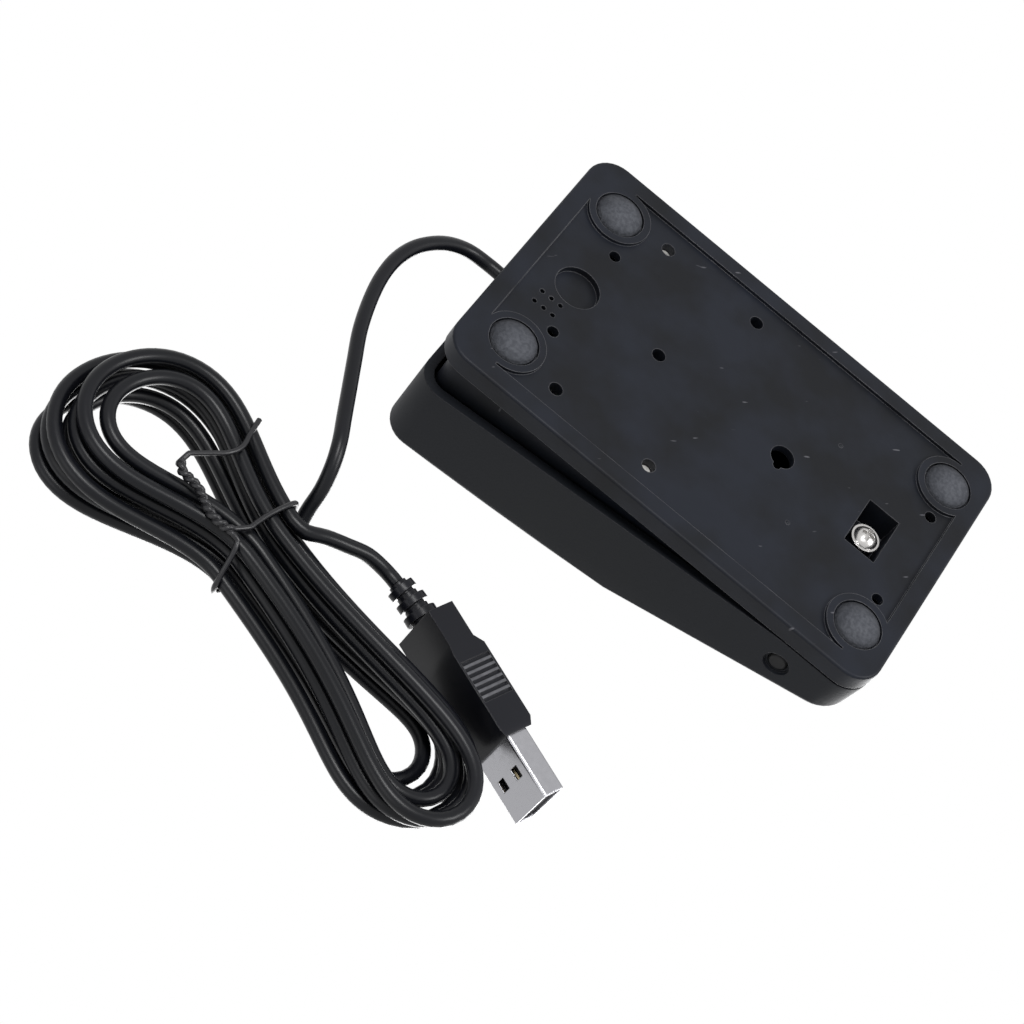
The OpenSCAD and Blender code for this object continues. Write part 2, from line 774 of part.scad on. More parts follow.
module cable_header() {
    wall = 0.8;
    color("ivory")
        translate([header_place[0] - header_size[0] / 2, header_place[1] - header_size[1] / 2, board_top])
            difference() {
                cube(header_size);
                translate([wall, wall, wall])
                    cube([header_size[0] - 2 * wall, header_size[1] - 2.5 * wall, header_size[2]]);
            }
}

// Key switch: two housing halves, pins, stem and spring
module switch_lower() {
    color("#26262a")
        difference() {
            union() {
                translate([-switch_w / 2, switch_y - switch_w / 2, board_top])
                    cube([switch_w, switch_w, switch_low_h]);
                translate([-switch_flange_w / 2, switch_y - switch_flange_w / 2,
                        switch_mid_z - switch_flange_h])
                    cube([switch_flange_w, switch_flange_w, switch_flange_h]);
                upright([0, switch_y], board_top - pin_len, locator_d, pin_len + eps);
            }
            translate([-well_w / 2, switch_y - well_w / 2, well_z])
                cube([well_w, well_w, switch_low_h]);
        }
}
module switch_upper() {
    half_low = switch_w / 2;
    half_high = switch_w / 2 - 1.9;
    slope = [
        [-half_low, switch_mid_z], [half_low, switch_mid_z],
        [half_high, switch_top_z], [-half_high, switch_top_z]
    ];
    color("#1d1d20")
        translate([0, switch_y, 0])
            difference() {
                intersection() {
                    side_prism(slope, switch_w);
                    rotate(90)
                        side_prism(slope, switch_w);
                }
                translate([-stem_w / 2 - stem_play, -stem_deep / 2 - stem_play, switch_mid_z - 1])
                    cube([stem_w + 2 * stem_play, stem_deep + 2 * stem_play, switch_up_h + 2]);
            }
}
module switch_pins() {
    color("gold")
        for (x = [-1, 1])
            upright([x * pin_x, switch_y + pin_x], board_top - pin_len, pin_d, pin_len);
}
module switch_spring() {
    color("silver")
        translate([0, switch_y, 0])
            coil(stem_spring_d, stem_spring_wire, stem_spring_turns, well_z,
                stem_bottom_z + stem_bore_h - stem_spring_gap);
}
module switch_stem() {
    arm = [4.4, 1.4];
    cap_r = 2.7;
    cap_t = 0.8;
    color("#3d6fb0")
        translate([0, switch_y, 0])
            difference() {
                union() {
                    translate([-stem_w / 2, -stem_deep / 2, stem_bottom_z])
                        cube([stem_w, stem_deep, stem_shoulder_z - stem_bottom_z]);
                    for (a = [0, 90])
                        rotate(a)
                            translate([-arm[0] / 2, -arm[1] / 2, stem_shoulder_z - eps])
                                cube([arm[0], arm[1], stem_top_z - stem_shoulder_z]);
                    upright([0, 0], stem_top_z - cap_t, 2 * cap_r, cap_t);
                }
                upright([0, 0], stem_bottom_z - eps, stem_bore_d, stem_bore_h + eps);
            }
}

// Return spring between the base and the pedal
module return_spring() {
    color("#c9c9cc")
        translate([0, spring_y, 0])
            coil(spring_d, spring_wire, spring_turns, spring_seat_z, spring_pad_z - spring_gap);
}

// Cable outlet
module cable_bush() {
    color("#1b1b1d")
        translate([cable_x, rear_y, cable_h])
            rotate([90, 0, 0])
                difference() {
                    union() {
                        cylinder(d = bush_d, h = rear_y - tab_y + tab_t / 2 + bush_flange_t);
                        translate([0, 0, rear_y - tab_y + tab_t / 2])
                            intersection() {
                                cylinder(d = bush_flange_d, h = bush_flange_t);
                                translate([-bush_flange_d / 2, floor_z + bush_seat - cable_h, 0])
                                    cube([bush_flange_d, bush_flange_d, bush_flange_t]);
                            }
                    }
                    translate([0, 0, -1])
                        cylinder(d = cord_d + 2 * bush_play, h = base_len / 4);
                }
}
module cable_inner() {
    header_rear = header_place[1] + header_size[1] / 2;
    header_mid_z = board_top + header_size[2] / 2;
    into = [header_place[0], header_rear, header_mid_z];
    outlet = [cable_x, rear_y, cable_h];
    color("#1b1b1d")
        tube(concat([for (p = inner_route) outlet + p],
            [into + [-0.4, 2 * cord_d / 3 + 0.6, -0.2], into + [0, 0.5, 0], into]), cord_d, 8);
}

// Pedal
module corner_cap(x, y) {
    translate([x, y, top_z(y)])
        rotate([top_deg(y), 0, 0])
            rotate_extrude($fn = 32) {
                translate([0, -pedal_edge_r])
                    intersection() {
                        translate([corner_r - pedal_edge_r, 0])
                            circle(pedal_edge_r, $fn = 32);
                        square([corner_r, pedal_edge_r]);
                    }
                translate([0, -pedal_edge_r])
                    square([corner_r - pedal_edge_r, pedal_edge_r]);
            }
}
module pedal_outside() {
    hull() {
        for (x = [-1, 1], y = [-1, 1])
            translate([x * (side_x - corner_r), y * (rear_y - corner_r), lip_z])
                cylinder(r = corner_r, h = 1, $fn = 32);
        for (x = [-1, 1], y = [front_y + corner_r, rear_y - corner_r - cap_overhang])
            corner_cap(x * (side_x - corner_r), y);
        for (x = [-1, 1], y = tread_stations)
            translate([x * (side_x - pedal_edge_r), y, top_z(y) - pedal_edge_r])
                sphere(pedal_edge_r, $fn = 16);
    }
}
module pedal_inside() {
    front = front_y + pedal_wall;
    rear = rear_y - pedal_wall;
    roof = concat([front], tread_stations, [rear]);
    intersection() {
        side_prism(concat([[rear, lip_z - 1], [front, lip_z - 1]], [for (y = roof) [y, ceiling_z(y)]]),
            base_w - 2 * pedal_wall);
        linear_extrude(pedal_rear_h)
            rounded(base_w - 2 * pedal_wall, base_len - 2 * pedal_wall, corner_r - pedal_wall);
    }
}
module pedal_ribs() {
    first = hinge_y + 8;
    last = rear_y - pedal_wall - 1;
    path = concat([first], [for (y = tread_stations) if (y > first) y], [last]);
    outline = concat([for (y = path) [y, ceiling_z(y) + eps]],
        [for (k = [len(path) - 1:-1:0]) [path[k], ceiling_z(path[k]) - rib_h]]);
    for (x = [-1, 1])
        translate([x * rib_x, 0, 0])
            side_prism(outline, rib_t);
}
module grip_bars() {
    for (k = [0:grip_count - 1]) {
        y = first_grip_y + k * grip_pitch;
        translate([0, y, top_z(y) + grip_h - grip_w / 2])
            rotate([0, 90, 0])
                cylinder(d = grip_w, h = grip_len, center = true, $fn = 24);
    }
}
module hinge_bosses() {
    for (x = [-1, 1])
        translate([x * (side_x - pedal_wall - boss_len / 2 + eps), hinge_y, hinge_h])
            rotate([0, 90, 0])
                cylinder(r = hinge_boss_r, h = boss_len, center = true);
}
module pedal_pusher() {
    translate([0, switch_y, pusher_z])
        intersection() {
            translate([0, 0, pusher_dome_r])
                sphere(pusher_dome_r, $fn = 96);
            cylinder(r = pusher_r, h = ceiling_z(switch_y) - pusher_z + 0.8);
        }
}
module pedal_cuts() {
    side_prism([
        [kink_y, lip_z], [kink_y, lip_z - 2], [rear_y + 1, lip_z - 2], [rear_y + 1, lip_line(rear_y + 1)]
    ], base_w + 2);
    translate([0, hinge_y, hinge_h])
        rotate([0, 90, 0]) {
            cylinder(r = axle_d / 2 + axle_run, h = base_w + 2, center = true);
            for (x = [-1, 1])
                translate([0, 0, x * (side_x + 0.2)])
                    cylinder(d = axle_recess_d, h = 2, center = true);
        }
    translate([cable_x - pedal_notch_w / 2, rear_y - pedal_wall - 1, lip_z])
        cube([pedal_notch_w, pedal_wall + 2, pedal_notch_z - lip_z - pedal_notch_w / 2]);
    translate([cable_x, rear_y + 1, pedal_notch_z - pedal_notch_w / 2])
        rotate([90, 0, 0])
            cylinder(d = pedal_notch_w, h = pedal_wall + 2);
}
module pedal_cover() {
    color("#26282b")
        difference() {
            union() {
                difference() {
                    pedal_outside();
                    pedal_inside();
                }
                pedal_ribs();
                grip_bars();
                hinge_bosses();
                pedal_pusher();
                upright([0, spring_y], spring_pad_z, 2 * spring_pad_r,
                    ceiling_z(spring_y - spring_pad_r) - spring_pad_z + 0.5);
            }
            pedal_cuts();
        }
}

// Hank: the spiral's distance, the layer and the point at a count of turns
function hank_spread(t) =
    let (q = (t - 1.75) - 4 * floor((t - 1.75) / 4), c = -cos(360 * t))
    hank_inner + hank_step * (q < 2 ? 2 - q : q - 2) + (c > 0 ? up_bulge : down_bulge) * pow(c, 4);
function hank_level(t) =
    smooth_step((t - 3.5) / 0.5) + smooth_step((t - 5.5) / 0.5) + smooth_step((t - 7.5) / 0.5);
function hank_pass(t, up) = min(hank_loops - 1, max(0, floor(up ? t - 2 : t - 2.5)));
// Swell, lean and reach of the lobe that a count of turns is on
function hank_lobe(t, up) =
    let (k = hank_pass(t, up))
    up && k == 0 ? first_loop
    : up ? up_loop + up_drift * floor(k / 2)
    : down_loop + down_drift * floor((k + 1) / 2);
function hank_local(t) =
    let (c = -cos(360 * t), s = sin(360 * t), up = c > 0, lobe = hank_lobe(t, up))
    let (l = up ? hank_up : hank_down, b = lobe[0])
    let (slope = [-l * s, c * (hank_waist + b * c * c) - 2 * b * s * s * c])
    let (away = [slope[1], -slope[0]] / norm(slope))
    [l * c + hank_spread(t) * away[0] + c * c * lobe[2] * (up ? 1 : -1),
        s * (hank_waist + b * c * c) + hank_spread(t) * away[1] + c * c * lobe[1],
        cord_d / 2 + hank_layer * hank_level(t)
            + hank_lift * (up ? pow(1 - pow(c, 6), 2) : pow(1 - c * c, 4))];
function hank_frame(p) = [
    hank_middle[0] - sin(hank_turn) * p[0] - cos(hank_turn) * p[1],
    hank_middle[1] + cos(hank_turn) * p[0] - sin(hank_turn) * p[1],
    p[2]
];
function hank_point(t) = hank_frame(hank_local(t));
hank_count = round((hank_to - hank_from) * hank_rings);
hank_curve = [for (i = [0:hank_count]) hank_point(lerp(hank_from, hank_to, i / hank_count))];
hank_head = unit(hank_point(hank_from + 0.002) - hank_curve[0]);
hank_tail = unit(hank_curve[hank_count] - hank_point(hank_to - 0.002));
hank_pts = concat([hank_curve[0] - cord_d * hank_head], hank_curve,
    [hank_curve[hank_count] + cord_d * hank_tail]);

// Least gap of the hank to itself, measured on its points and its segments
function point_to_segment(p, a, b) =
    let (d = b - a, k = min(1, max(0, (p - a) * d / (d * d))))
    norm(p - a - k * d);
hank_gap = min([for (i = [0:3:hank_count - 9])
    min([for (j = [i + 8:hank_count - 1])
        point_to_segment(hank_curve[i], hank_curve[j], hank_curve[j + 1])])]) - cord_d;
echo(hank_least_gap = hank_gap);  // cord_hank

// Lead, hank, tie and tail
hank_end = hank_pts[len(hank_pts) - 1];
lead_pts = concat(lead_route, [hank_end + cord_d * hank_tail, hank_end]);
module cord_lead() {
    color("#1b1b1d")
        tube(lead_pts, cord_d, 8);
}
module cord_hank() {
    color("#1b1b1d")
        tube(hank_pts, cord_d, hank_sides);
}
tie_pts = concat([for (p = tie_ring) hank_frame(p)], tie_route);
module cord_tie() {
    color("#17171a")
        tube(tie_pts, tie_d, 6);
}
module plug_frame() {
    translate([plug_place[0], plug_place[1], plug_z])
        rotate(plug_turn)
            children();
}
// The strain relief is bent in short lengths with a ring on each, from the grip back to the lead
relief_steps = 3;
relief_step = relief_len / relief_steps;
function relief_turn(k) = plug_turn - relief_bend * k / (relief_steps - 1);
function relief_heading(k) = [-sin(relief_turn(k)), cos(relief_turn(k)), 0];
function relief_start(k) =
    k == 0
    ? [plug_place[0], plug_place[1], plug_z]
    : relief_start(k - 1) - relief_step * relief_heading(k - 1);
relief_end = relief_start(relief_steps);
tail_pts = concat([hank_pts[0], hank_pts[0] - cord_d / 2 * hank_head], tail_route,
    [relief_end - cord_d * relief_heading(relief_steps - 1), relief_end]);
module cord_tail() {
    color("#1b1b1d")
        tube(tail_pts, cord_d, 8);
}

// Plug, drawn along its length and set down on its narrow side
module plug_relief() {
    core_r = [cord_d / 2 + 0.8, cord_d / 2 + 0.3];
    ring_w = relief_step * 0.5;
    ring_h = 0.9;
    lap = 0.3;
    color("#1b1b1d")
        for (k = [0:relief_steps - 1]) {
            r = lerp(core_r[0], core_r[1], k / (relief_steps - 1));
            front_lap = k == 0 ? 0 : lap;
            rear_lap = k == relief_steps - 1 ? 0 : lap;
            translate(relief_start(k))
                rotate([0, 0, relief_turn(k)])
                    rotate([90, 0, 0]) {
                        translate([0, 0, -front_lap])
                            cylinder(r = r, h = relief_step + front_lap + rear_lap);
                        translate([0, 0, (relief_step - ring_w) / 2])
                            cylinder(r = r + ring_h, h = ring_w);
                    }
        }
}
module plug_overmould() {
    half = grip_body_t / 2;
    waist = half - shoulder_step;
    outline = [
        [-waist, 0], [waist, 0], [waist, shoulder_y], [half, shoulder_y + shoulder_len],
        [half, grip_body_len], [shell_h / 2 + nose_wall, plug_front], [-shell_h / 2 - nose_wall, plug_front],
        [-half, grip_body_len], [-half, shoulder_y + shoulder_len], [-waist, shoulder_y]
    ];
    side = grip_body_w / 2;
    rear_side = side - flank_step;
    nose_side = shell_w / 2 + nose_wall;
    flank = [
        [0, -rear_side], [shoulder_y, -rear_side], [shoulder_y + shoulder_len, -side],
        [grip_body_len, -side], [plug_front, -nose_side], [plug_front, nose_side], [grip_body_len, side],
        [shoulder_y + shoulder_len, side], [shoulder_y, rear_side], [0, rear_side]
    ];
    color("#1f2023")
        plug_frame()
            difference() {
                intersection() {
                    linear_extrude(grip_body_w, center = true)
                        polygon(outline);
                    side_prism(flank, grip_body_t);
                }
                for (z = [-side, side], k = [0:grip_bar_count])
                    translate([0, grip_bar_from + (k - 0.5) * grip_bar_pitch, z])
                        cube([grip_body_t - 2 * grip_bar_edge, grip_bar_pitch - grip_bar_w,
                            2 * grip_bar_deep], center = true);
                translate([0, plug_front - shell_sunk, 0])
                    rotate([-90, 0, 0])
                        linear_extrude(shell_sunk + eps)
                            rounded(shell_h, shell_w, shell_r);
            }
}
module plug_shell() {
    color("silver")
        plug_frame()
            difference() {
                translate([0, plug_front - shell_sunk, 0])
                    rotate([-90, 0, 0])
                        linear_extrude(shell_sunk + shell_len)
                            difference() {
                                rounded(shell_h, shell_w, shell_r);
                                rounded(shell_h - 2 * shell_t, shell_w - 2 * shell_t, shell_r - shell_t);
                            }
                for (z = [-shell_hole_x, shell_hole_x])
                    translate([0, plug_front + shell_hole_y, z])
                        cube([shell_h + 1, shell_hole_w, shell_hole_w], center = true);
            }
}
module plug_tongue() {
    long = shell_len + shell_sunk - tongue_inset;
    wide = shell_w - 2 * shell_r;
    color("#2c2c30")
        plug_frame()
            translate([shell_h / 2 - shell_t - tongue_t, plug_front - shell_sunk, -wide / 2])
                cube([tongue_t, long, wide]);
}
module plug_contacts() {
    face_x = shell_h / 2 - shell_t - tongue_t;
    color("gold")
        plug_frame()
            for (z = contact_x)
                translate([face_x - contact_t, plug_front + shell_len - contact_inset - contact_len,
                        z - contact_w / 2])
                    cube([contact_t, contact_len, contact_w]);
}

base_tray();
foot(-foot_x, foot_rear_y);  // foot_rear_left
foot(foot_x, foot_rear_y);  // foot_rear_right
foot(-foot_x, foot_front_y);  // foot_front_left
foot(foot_x, foot_front_y);  // foot_front_right
hinge_axle();
axle_lock_screw();
circuit_board();
board_screws();
controller_chip();
crystal();
capacitor();
cable_header();
switch_lower();
switch_upper();
switch_pins();
switch_spring();
switch_stem();
return_spring();
cable_bush();
cable_inner();
pedal_cover();
cord_lead();
cord_hank();
cord_tie();
cord_tail();
plug_relief();
plug_overmould();
plug_shell();
plug_tongue();
plug_contacts();
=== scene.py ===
"""A USB foot pedal switch, seen from below as photographed, with its tied-up lead beside it."""

import json
import math

import bpy
from mathutils import Matrix, Vector


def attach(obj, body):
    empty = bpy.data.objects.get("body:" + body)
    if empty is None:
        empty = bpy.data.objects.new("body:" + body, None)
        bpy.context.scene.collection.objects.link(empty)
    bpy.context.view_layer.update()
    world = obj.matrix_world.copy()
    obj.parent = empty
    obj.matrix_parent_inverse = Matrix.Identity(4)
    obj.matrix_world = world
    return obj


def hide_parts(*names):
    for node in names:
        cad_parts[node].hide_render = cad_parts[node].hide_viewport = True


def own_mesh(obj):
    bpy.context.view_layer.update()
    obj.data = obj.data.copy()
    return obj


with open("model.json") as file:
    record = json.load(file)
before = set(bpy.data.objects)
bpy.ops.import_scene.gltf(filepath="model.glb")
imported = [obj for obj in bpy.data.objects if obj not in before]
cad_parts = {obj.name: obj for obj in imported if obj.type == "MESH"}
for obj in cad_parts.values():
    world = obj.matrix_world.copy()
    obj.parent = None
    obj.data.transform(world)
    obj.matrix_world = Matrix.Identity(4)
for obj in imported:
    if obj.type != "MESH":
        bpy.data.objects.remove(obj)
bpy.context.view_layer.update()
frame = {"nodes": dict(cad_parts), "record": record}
nodes = frame["nodes"]
slot_of = {part["node"]: part["material_slot"] for part in frame["record"]["subparts"]}

MM = 0.001


def metres(points):
    """Points written in millimetres, as metres."""
    return [Vector(p) * MM for p in points]


def new_object(name, data):
    """An object in the scene, made from its data."""
    made = bpy.data.objects.new(name, data)
    bpy.context.scene.collection.objects.link(made)
    return made


# Camera: below the ground, looking up at the underside

CAMERA_PLACE = Vector((397.74, 34.06, -418.79)) * MM
CAMERA_VIEW = Vector((-0.6350, -0.0244, 0.7722)).normalized()
CAMERA_UP = Vector((-0.6063, 0.6352, -0.4784)).normalized()
CAMERA_SENSOR = 36.0
CAMERA_LENS = 108.36
CAMERA_NEAR = 0.01


def make_camera():
    """The photograph's camera, from its place, its view and its upward direction."""
    data = bpy.data.cameras.new("camera")
    data.sensor_width = CAMERA_SENSOR
    data.lens = CAMERA_LENS
    data.clip_start = CAMERA_NEAR
    camera = new_object("camera", data)
    right = CAMERA_VIEW.cross(CAMERA_UP).normalized()
    up = right.cross(CAMERA_VIEW)
    turn = Matrix((right, up, -CAMERA_VIEW)).transposed()
    camera.matrix_world = Matrix.Translation(CAMERA_PLACE) @ turn.to_4x4()
    bpy.context.scene.camera = camera


make_camera()


# Curves

def smooth_route(points, step):
    """A smooth line through the points, with a point about every step."""
    out = []
    last = len(points) - 1
    for i in range(last):
        before = points[max(i - 1, 0)]
        a, b = points[i], points[i + 1]
        after = points[min(i + 2, last)]
        pull_a = (b - before) / 2 if i > 0 else b - a
        pull_b = (after - a) / 2 if i + 1 < last else b - a
        count = max(1, round((b - a).length / step))
        for k in range(count):
            s = k / count
            out.append(
                (2 * s**3 - 3 * s**2 + 1) * a
                + (s**3 - 2 * s**2 + s) * pull_a
                + (3 * s**2 - 2 * s**3) * b
                + (s**3 - s**2) * pull_b
            )
    out.append(points[last])
    return out


def make_tubes(name, lines, diameter, sides):
    """Round tubes along lines of points, as one curve with an open spline for each line."""
    data = bpy.data.curves.new(name, "CURVE")
    data.dimensions = "3D"
    data.bevel_depth = 1.0
    data.bevel_resolution = sides // 2 - 2
    data.use_fill_caps = True
    data.twist_mode = "MINIMUM"
    for points in lines:
        spline = data.splines.new("POLY")
        spline.points.add(len(points) - 1)
        for target, p in zip(spline.points, points):
            target.co = (*p, 1.0)
            target.radius = diameter / 2
        spline.use_smooth = True
    return new_object(name, data)


# Lead: out of the rear wall, round to the hank, seven loops, and on to the plug

CORD_D = 2.8
CORD_STEP = 1.2 * MM
CORD_SIDES = 12
LEAD_ROUTE = [
    (6.4, 50, 5.4), (6.4, 53, 5.4), (7.6, 56.9, 4.5), (10.5, 60.3, 3.1), (14.2, 62.9, 2),
    (18.5, 64.9, 1.5), (23.5, 65.9, 1.4), (29, 65.7, 1.4), (35.2, 64.4, 1.4), (42, 62.2, 1.4),
    (48.4, 59.3, 1.4), (54.7, 56.4, 1.4), (59.7, 54.1, 1.4), (64.4, 51.9, 1.5), (68.1, 50.2, 3.2),
    (71.5, 49, 6.2), (74.9, 48.5, 9.6), (78.4, 47.4, 12.2), (81.8, 45.2, 13.6),
]
TAIL_BEND = (82.9, 46.2, 3.4)
TAIL_ROUTE = [(80.9, 43, 3.6), (78.7, 39.2, 4.5), (76.6, 35.4, 5.6)]

# Hank: each lobe has a length and a bulge, and each loop of it a swell, a lean and a reach
HANK_MIDDLE = (89.8, 49.3)
HANK_TURN = math.radians(17.2)
HANK_LOOPS = 7
HANK_UP, HANK_DOWN = 32.1, 51.5
UP_BULGE, DOWN_BULGE = 2.1, 3.5
HANK_WAIST = 0.2
HANK_INNER = 1.0
HANK_STEP = 3.7
HANK_LAYER = 3.5
HANK_LIFT = 1.9
HANK_RINGS = 160
FIRST_LOOP = Vector((18.6, -5, 0.5))
UP_LOOP, UP_DRIFT = Vector((18.4, -4.9, -0.1)), Vector((1.6, -1.9, 1.1))
DOWN_LOOP, DOWN_DRIFT = Vector((8.3, -2.9, -2.9)), Vector((-0.5, 1.2, -3.1))

# Places along the hank, as counts of turns
HANK_FROM, HANK_TO = 2.262, 9.215
UP_FROM, DOWN_FROM = 2, 2.5
WIND_FROM, WIND_TURNS = 1.75, 4
CLIMBS, CLIMB_TURNS = (3.5, 5.5, 7.5), 0.5


def smooth_step(s):
    """Goes from 0 to 1 with a level start and end."""
    k = min(1.0, max(0.0, s))
    return k * k * (3 - 2 * k)


def hank_frame(u, v, z):
    """A point given along and across the hank, in the row frame."""
    sine, cosine = math.sin(HANK_TURN), math.cos(HANK_TURN)
    x = HANK_MIDDLE[0] - sine * u - cosine * v
    y = HANK_MIDDLE[1] + cosine * u - sine * v
    return Vector((x, y, z))


def hank_lobe(t, up):
    """Swell, lean and reach of the lobe that a count of turns is on."""
    k = min(HANK_LOOPS - 1, max(0, math.floor(t - (UP_FROM if up else DOWN_FROM))))
    if not up:
        return DOWN_LOOP + DOWN_DRIFT * ((k + 1) // 2)
    return UP_LOOP + UP_DRIFT * (k // 2) if k else FIRST_LOOP


def hank_point(t):
    """The lead's place after t turns: loops drawn in at the waist, wound in and out in layers."""
    c, s = -math.cos(math.tau * t), math.sin(math.tau * t)
    up = c > 0
    far = HANK_UP if up else HANK_DOWN
    swell, lean, reach = hank_lobe(t, up)
    along, across = -far * s, c * (HANK_WAIST + swell * c * c) - 2 * swell * s * s * c
    size = math.hypot(along, across)
    wound = abs(WIND_TURNS / 2 - (t - WIND_FROM) % WIND_TURNS)
    spread = HANK_INNER + HANK_STEP * wound + (UP_BULGE if up else DOWN_BULGE) * c**4
    level = sum(smooth_step((t - climb) / CLIMB_TURNS) for climb in CLIMBS)
    lift = (1 - c**6) ** 2 if up else (1 - c * c) ** 4
    return hank_frame(
        far * c + spread * across / size + c * c * reach * (1 if up else -1),
        s * (HANK_WAIST + swell * c * c) - spread * along / size + c * c * lean,
        CORD_D / 2 + HANK_LAYER * level + HANK_LIFT * lift,
    )


def hank_line():
    """The hank's points, with a straight diameter at its last end."""
    count = round((HANK_TO - HANK_FROM) * HANK_RINGS)
    turns = [HANK_FROM + (HANK_TO - HANK_FROM) * i / count for i in range(count + 1)]
    line = [hank_point(t) for t in turns]
    return [*line, line[-1] + CORD_D * (line[-1] - line[-2]).normalized()]


# Plug: it stands on its narrow side, and its relief bends back to the lead in three lengths

PLUG_PLACE = Vector((79, 20.5, 7))
PLUG_TURN = math.radians(203)
RELIEF_BEND = math.radians(10)
RELIEF_LEN = 8.4
RELIEF_STEPS = 3


def relief_heading(k):
    """The direction of one of the relief's lengths."""
    turn = PLUG_TURN - RELIEF_BEND * k / (RELIEF_STEPS - 1)
    return Vector((-math.sin(turn), math.cos(turn), 0))


def relief_end():
    """Where the lead goes into the relief."""
    place = PLUG_PLACE.copy()
    for k in range(RELIEF_STEPS):
        place -= RELIEF_LEN / RELIEF_STEPS * relief_heading(k)
    return place


def lead_line():
    """The whole lead: from the rear wall down through the hank and out of it to the plug."""
    hank = hank_line()
    heading = (hank[-1] - hank[-2]).normalized()
    lead_in = smooth_route(metres([*LEAD_ROUTE, hank[-1] + CORD_D * heading, hank[-1]]), CORD_STEP)
    plug_end = relief_end()
    before_plug = plug_end - CORD_D * relief_heading(RELIEF_STEPS - 1)
    tail = [hank[0], TAIL_BEND, *TAIL_ROUTE, before_plug, plug_end]
    lead_out = smooth_route(metres(tail), CORD_STEP)
    return lead_in + metres(hank[-2::-1]) + lead_out[1:]


cord_line = lead_line()
cord = make_tubes("lead", [cord_line], CORD_D * MM, CORD_SIDES)
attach(cord, "base")
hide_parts("cord_lead", "cord_hank", "cord_tail")


# Tie: once round the waist, then a twisted stretch and a thin loose end

TIE_D = 1.0
TIE_SIDES = 8
TIE_RING = [
    (3.9, -2.6, 1.3), (4.3, 2, 1.3), (4.2, 6.2, 1.4), (4, 8.4, 2), (3.8, 8.8, 4.6), (3.4, 8.8, 8.5),
    (3, 8.6, 11.4), (2.6, 7.2, 13.6), (2.2, 5, 15.6), (1.2, 0.6, 15.9), (0.4, -4.6, 15.8),
    (0, -7.4, 14), (-0.4, -9.4, 11.4), (-0.4, -10.6, 8.6), (0.4, -9.6, 5.6), (1.8, -7.4, 2.6),
    (3, -6, 1.5),
]
TIE_ROUTE = [
    (94.2, 55.6, 0.75), (94.6, 57.8, 0.75), (94.3, 60.1, 0.75), (93.4, 62, 0.75), (92.1, 64.1, 0.75),
    (91.5, 66.2, 0.75), (91.3, 68.4, 0.75), (89.8, 70, 0.75), (87.6, 69.7, 0.75), (85, 67.3, 0.75),
    (82.3, 64.9, 0.75), (79.4, 63.8, 0.75), (76, 64.3, 0.75), (72.6, 64.7, 0.75),
]
TIE_STEP = 0.4 * MM
TWIST_POINTS = 8
TWIST_PITCH = 3.0 * MM
TWIST_R = 0.46 * MM
TWIST_Z = 0.95 * MM
SECOND_START = 3


def twisted(points, phase):
    """One of two wires that wind round each other along the points."""
    out = []
    run = 0.0
    for i, p in enumerate(points):
        before, after = points[max(i - 1, 0)], points[min(i + 1, len(points) - 1)]
        run += (p - before).length
        way = (after - before).normalized()
        side = Vector((way.y, -way.x, 0))
        angle = math.tau * run / TWIST_PITCH + phase
        offset = math.cos(angle) * side + math.sin(angle) * Vector((0, 0, 1))
        out.append(Vector((p.x, p.y, TWIST_Z)) + TWIST_R * offset)
    return out


def tie_wires():
    """The wire that goes round and ends loose, and the one that it is twisted with."""
    ring = smooth_route(metres([hank_frame(*p) for p in TIE_RING]), TIE_STEP)
    twist = smooth_route(metres(TIE_ROUTE[:TWIST_POINTS]), TIE_STEP)
    end = smooth_route(metres(TIE_ROUTE[TWIST_POINTS:]), TIE_STEP)
    first = smooth_route([*ring, *twisted(twist, 0.0), *end], TIE_STEP)
    second = smooth_route([ring[SECOND_START], ring[0], *twisted(twist, math.pi)], TIE_STEP)
    return [first, second]


tie = make_tubes("tie", tie_wires(), TIE_D * MM, TIE_SIDES)
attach(tie, "base")
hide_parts("cord_tie")


# Shader nodes

NOISE_ROUGH = 0.55


def new_material(name):
    """A material, its nodes and its main shader."""
    material = bpy.data.materials.new(name)
    material.use_nodes = True
    tree = material.node_tree
    return material, tree, tree.nodes["Principled BSDF"]


def add(tree, kind, **values):
    """A node with some of its settings."""
    made = tree.nodes.new(kind)
    for key, value in values.items():
        setattr(made, key, value)
    return made


def own_place(tree, kind="Object"):
    """The place of a point of a piece, in the row frame or within the piece's own box."""
    return add(tree, "ShaderNodeTexCoord").outputs[kind]


def noise(tree, scale, detail, rough=NOISE_ROUGH, place=None):
    """Noise over the row frame, in metres, or over another place."""
    if place is None:
        place = own_place(tree)
    made = add(tree, "ShaderNodeTexNoise")
    made.inputs["Scale"].default_value = scale
    made.inputs["Detail"].default_value = detail
    made.inputs["Roughness"].default_value = rough
    tree.links.new(place, made.inputs["Vector"])
    return made.outputs["Fac"]


def span(tree, source, low, high, from_low=0.3, from_high=0.7):
    """A value carried over from one range to another, and held at its ends."""
    made = add(tree, "ShaderNodeMapRange")
    made.inputs["From Min"].default_value = from_low
    made.inputs["From Max"].default_value = from_high
    made.inputs["To Min"].default_value = low
    made.inputs["To Max"].default_value = high
    tree.links.new(source, made.inputs["Value"])
    return made.outputs["Result"]


def combine(tree, operation, a, b):
    """One value out of two."""
    made = add(tree, "ShaderNodeMath", operation=operation)
    tree.links.new(a, made.inputs[0])
    tree.links.new(b, made.inputs[1])
    return made.outputs["Value"]


def dot(tree, a, b):
    """How far two directions agree."""
    made = add(tree, "ShaderNodeVectorMath", operation="DOT_PRODUCT")
    tree.links.new(a, made.inputs[0])
    tree.links.new(b, made.inputs[1])
    return made.outputs["Value"]


